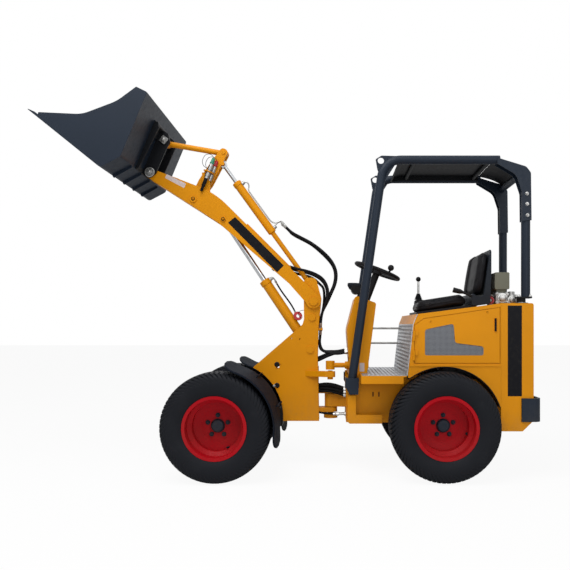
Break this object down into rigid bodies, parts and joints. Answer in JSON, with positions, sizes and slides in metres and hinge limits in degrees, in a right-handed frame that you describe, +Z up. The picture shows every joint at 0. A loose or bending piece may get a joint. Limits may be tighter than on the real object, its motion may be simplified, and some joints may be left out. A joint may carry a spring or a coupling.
{
  "type": "compact articulated wheel loader",
  "caption": "Compact articulated wheel loader with a bent single-arm boom, lever linkage, bucket, canopy, seat on the engine cover and wide turf tyres.",
  "frame": {"origin": "bottom centre of the whole machine with the bucket raised as it stands", "axes": "-X towards the bucket, -Y towards the operator's left, +Z up"},
  "size_m": [3.3684, 1.2608, 2.5759],
  "materials": {
    "paint_yellow": "gloss",
    "paint_slate": "satin",
    "paint_black": "satin",
    "paint_grey": "satin",
    "engine_grey": "matt",
    "chequer_plate": "brushed",
    "plastic_black": "matt",
    "seat_vinyl": "satin",
    "bare_steel": "zinc plated",
    "chrome_rod": "polished",
    "tyre_rubber": "matt",
    "rim_red": "gloss"
  },
  "bodies": {
    "rear_chassis": {"rear_frame": "paint_yellow", "rear_axle": "paint_black", "engine_block": "engine_grey", "platform": "paint_yellow", "riser_plate": "chequer_plate", "engine_hood": "paint_yellow", "tail_housing": "paint_yellow", "radiator_grille": "paint_black", "rear_bumper": "paint_slate", "rear_arches": "paint_black", "dash_cowl": "paint_yellow", "gauge_pod": "plastic_black", "seat_frame": "paint_black", "seat_cushion": "seat_vinyl", "seat_backrest": "seat_vinyl", "control_console": "plastic_black", "control_lever": "plastic_black", "guard_rails": "bare_steel", "tool_box": "paint_grey", "silencer": "bare_steel", "canopy_left_rail": "paint_slate", "canopy_right_rail": "paint_slate", "rear_posts": "paint_slate", "post_mounts": "bare_steel", "roof_panel": "paint_black", "steering_column": "plastic_black", "steering_cylinder_barrel": "paint_yellow"},
    "left_door": {"left_engine_door": "paint_yellow"},
    "right_door": {"right_engine_door": "paint_yellow"},
    "steering_wheel": {"steering_wheel": "plastic_black"},
    "rear_left_wheel": {"rear_left_tyre": "tyre_rubber", "rear_left_rim": "rim_red"},
    "rear_right_wheel": {"rear_right_tyre": "tyre_rubber", "rear_right_rim": "rim_red"},
    "front_chassis": {"front_frame": "paint_yellow", "front_axle": "paint_black", "front_left_fender": "paint_slate", "front_right_fender": "paint_slate", "front_pins": "bare_steel"},
    "front_left_wheel": {"front_left_tyre": "tyre_rubber", "front_left_rim": "rim_red"},
    "front_right_wheel": {"front_right_tyre": "tyre_rubber", "front_right_rim": "rim_red"},
    "steering_rod": {"steering_cylinder_rod": "chrome_rod"},
    "boom": {"boom": "paint_yellow"},
    "lift_barrel": {"lift_cylinder_barrel": "paint_yellow"},
    "lift_rod": {"lift_cylinder_rod": "chrome_rod"},
    "tilt_barrel": {"tilt_cylinder_barrel": "paint_yellow"},
    "tilt_rod": {"tilt_cylinder_rod": "chrome_rod"},
    "bell_crank": {"bell_crank": "paint_yellow"},
    "tilt_link": {"tilt_link": "paint_yellow"},
    "bucket": {"bucket": "paint_slate", "quick_coupler": "paint_black"}
  },
  "joints": [
    {"name": "front_left_wheel_spin", "type": "hinge", "parent": "front_chassis", "child": "front_left_wheel", "pos_m": [-0.475, -0.475, 0.362], "axis": [0, 1, 0], "continuous": true},
    {"name": "front_right_wheel_spin", "type": "hinge", "parent": "front_chassis", "child": "front_right_wheel", "pos_m": [-0.475, 0.475, 0.362], "axis": [0, 1, 0], "continuous": true},
    {"name": "rear_left_wheel_spin", "type": "hinge", "parent": "rear_chassis", "child": "rear_left_wheel", "pos_m": [1.025, -0.475, 0.362], "axis": [0, 1, 0], "continuous": true},
    {"name": "rear_right_wheel_spin", "type": "hinge", "parent": "rear_chassis", "child": "rear_right_wheel", "pos_m": [1.025, 0.475, 0.362], "axis": [0, 1, 0], "continuous": true},
    {"name": "articulation", "type": "hinge", "parent": "rear_chassis", "child": "front_chassis", "pos_m": [0.275, 0, 0.483], "axis": [0, 0, 1], "range_deg": [-40, 40]},
    {"name": "steering_rod_slide", "type": "slide", "parent": "rear_chassis", "child": "steering_rod", "axis": [1, 0, 0], "range_m": [-0.066, 0.066]},
    {"name": "steering_wheel_turn", "type": "hinge", "parent": "rear_chassis", "child": "steering_wheel", "pos_m": [0.618, 0, 1.428], "axis": [0.3584, 0, 0.9336], "continuous": true},
    {"name": "left_engine_door_hinge", "type": "hinge", "parent": "rear_chassis", "child": "left_door", "pos_m": [0.831, -0.468, 0.9], "axis": [0, 0, -1], "range_deg": [0, 90]},
    {"name": "right_engine_door_hinge", "type": "hinge", "parent": "rear_chassis", "child": "right_door", "pos_m": [0.831, 0.468, 0.9], "axis": [0, 0, 1], "range_deg": [0, 90]},
    {"name": "boom_lift", "type": "hinge", "parent": "front_chassis", "child": "boom", "pos_m": [0.151, 0, 1.204], "axis": [0, 1, 0], "range_deg": [-77, 5]},
    {"name": "lift_barrel_swing", "type": "hinge", "parent": "front_chassis", "child": "lift_barrel", "pos_m": [0.125, 0, 0.854], "axis": [0, 1, 0], "range_deg": [-68.79, 4.48]},
    {"name": "lift_rod_slide", "type": "slide", "parent": "lift_barrel", "child": "lift_rod", "axis": [-0.5545, 0, 0.8322], "range_m": [-0.41739, 0.02711]},
    {"name": "tilt_barrel_swing", "type": "hinge", "parent": "front_chassis", "child": "tilt_barrel", "pos_m": [0.122, 0, 1.332], "axis": [0, 1, 0], "range_deg": [-80.62, 5.24]},
    {"name": "tilt_rod_slide", "type": "slide", "parent": "tilt_barrel", "child": "tilt_rod", "axis": [-0.5859, 0, 0.8104], "range_m": [-0.12217, 0.24111]},
    {"name": "bucket_tilt", "type": "hinge", "parent": "boom", "child": "bucket", "pos_m": [-1.028, 0, 2.133], "axis": [0, -1, 0], "range_deg": [-38, 75]},
    {"name": "bell_crank_swing", "type": "hinge", "parent": "boom", "child": "bell_crank", "pos_m": [-0.721, 0, 1.946], "axis": [0, 1, 0], "range_deg": [-50.26, 25.47]},
    {"name": "tilt_link_swing", "type": "hinge", "parent": "bell_crank", "child": "tilt_link", "pos_m": [-0.508, 0, 2.293], "axis": [0, 1, 0], "range_deg": [-20.15, 39.76]}
  ],
  "couplings": [
    {"joint": "steering_rod_slide", "follows": "articulation", "m_per_rad": 0.0921},
    {"joint": "lift_barrel_swing", "follows": "boom_lift", "ratio": 0.8932},
    {"joint": "lift_rod_slide", "follows": "boom_lift", "m_per_rad": 0.31057},
    {"joint": "tilt_barrel_swing", "follows": "boom_lift", "ratio": 1.0469},
    {"joint": "tilt_rod_slide", "follows": "bucket_tilt", "m_per_rad": 0.18419},
    {"joint": "bell_crank_swing", "follows": "bucket_tilt", "ratio": -0.67},
    {"joint": "tilt_link_swing", "follows": "bucket_tilt", "ratio": 0.53}
  ]
}
